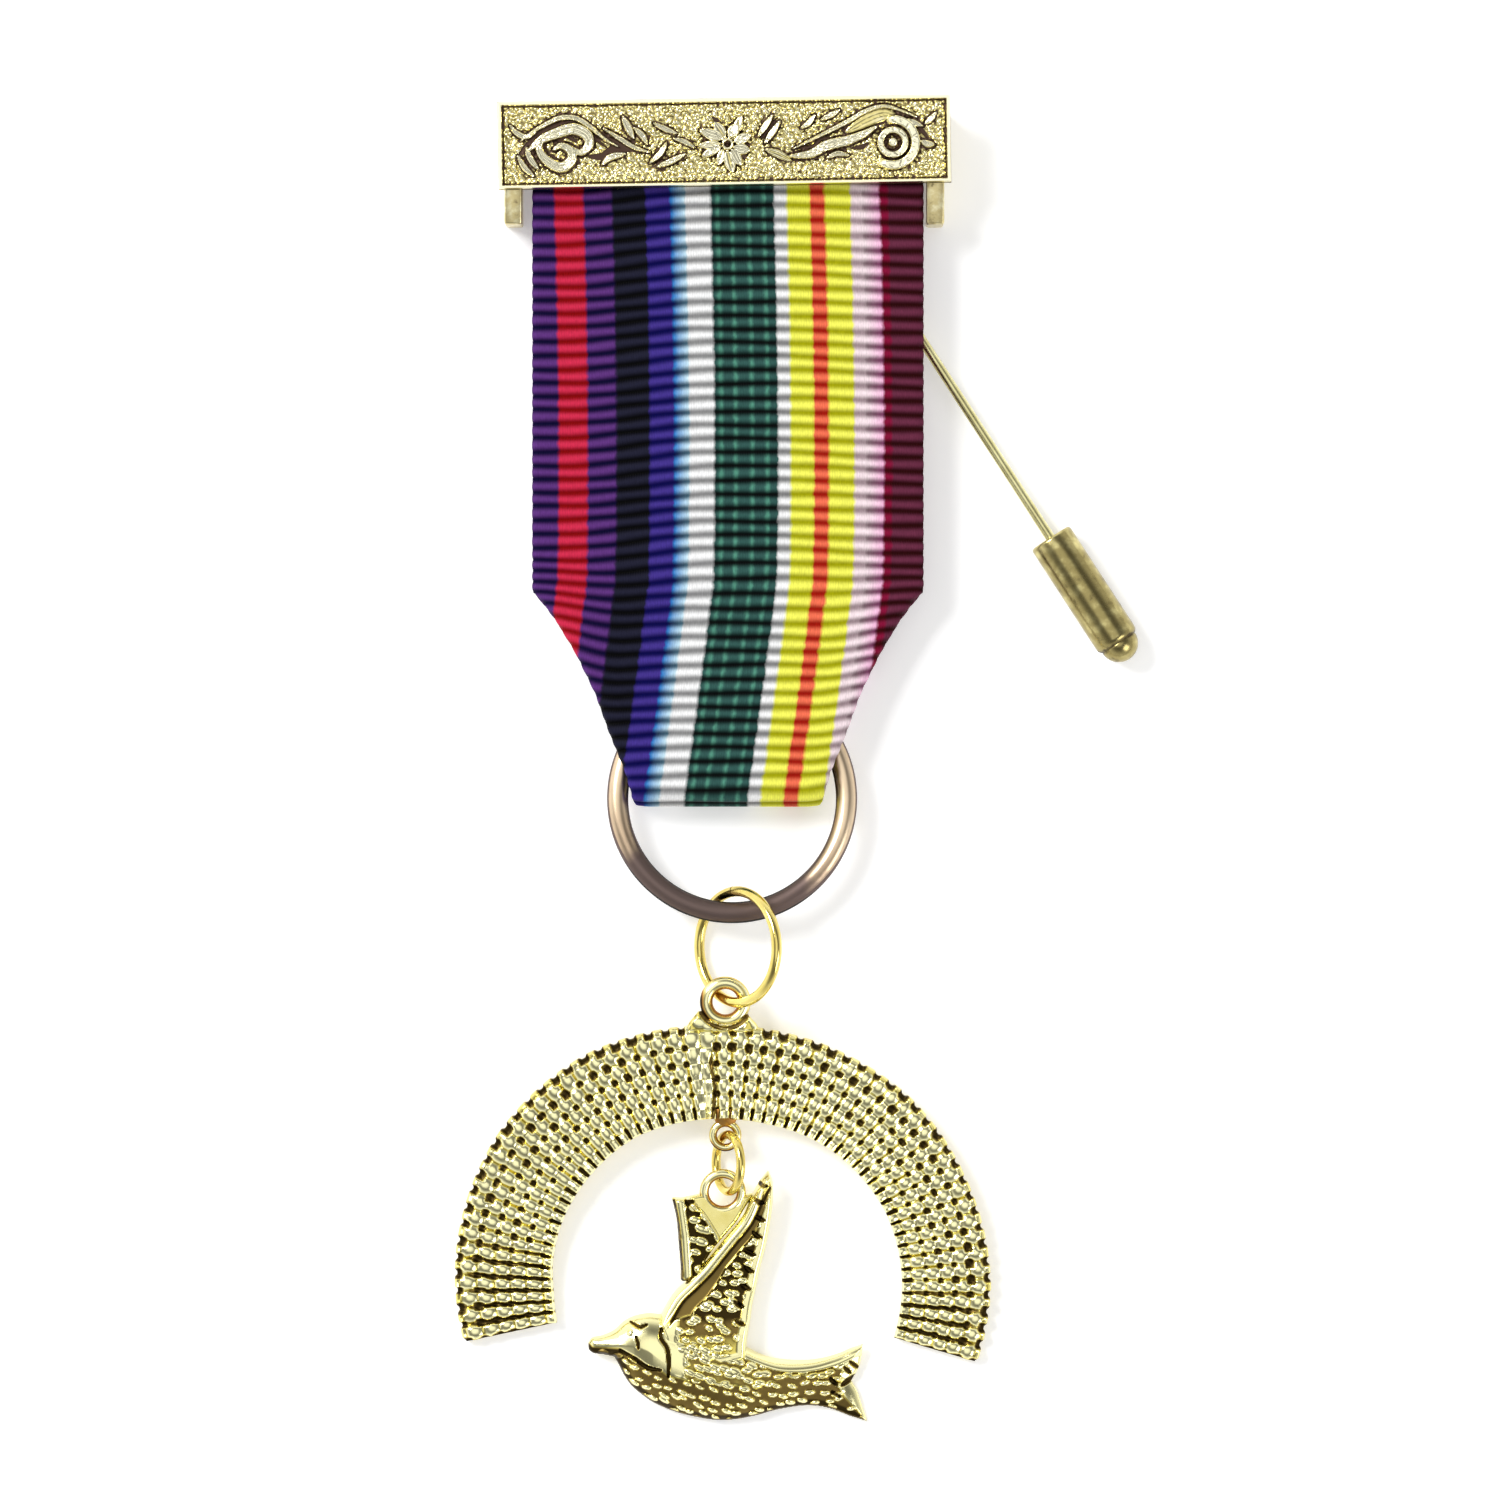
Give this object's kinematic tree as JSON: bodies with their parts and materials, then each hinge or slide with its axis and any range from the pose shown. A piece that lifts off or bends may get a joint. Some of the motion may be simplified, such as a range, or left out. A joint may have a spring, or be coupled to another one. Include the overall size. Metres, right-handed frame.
{
  "type": "masonic breast jewel",
  "caption": "Breast jewel: engraved bar with a swivelling capped stick pin, striped ribbon, linked rings, studded rainbow arch and hanging dove, lying on its back.",
  "frame": {"origin": "on the back plate's flat face, behind the middle of the top bar", "axes": "+X along the bar to the right seen from the front, +Y up the ribbon towards the bar, +Z out of the face; the jewel lies on its back on the plane Z = 0"},
  "size_m": [0.0664, 0.1284, 0.009],
  "materials": {
    "bar_metal": "pale gilt casting with dark recesses",
    "ribbon_cloth": "ribbed woven silk, striped",
    "ring_metal": "polished bronze coloured wire",
    "gilt_wire": "bright gilt wire",
    "gilt_casting": "bright gilt casting",
    "pin_wire": "brass plated steel wire",
    "cap_metal": "aged brass tube"
  },
  "bodies": {
    "jewel": {"bar": "bar_metal", "ribbon": "ribbon_cloth", "suspension_ring": "ring_metal", "jump_ring": "gilt_wire", "rainbow_arch": "gilt_casting", "dove_ring": "gilt_wire", "dove": "gilt_casting"},
    "pin": {"pin": "pin_wire"},
    "cap": {"pin_cap": "cap_metal"}
  },
  "joints": [
    {"name": "pin_hinge", "type": "hinge", "parent": "jewel", "child": "pin", "pos_m": [0.0069, 0, 0.00153], "axis": [0, 0, 1], "range_deg": [-13, 20]},
    {"name": "cap_slide", "type": "slide", "parent": "pin", "child": "cap", "axis": [0.5446, -0.8386, 0.0158], "range_m": [0, 0.012]}
  ]
}
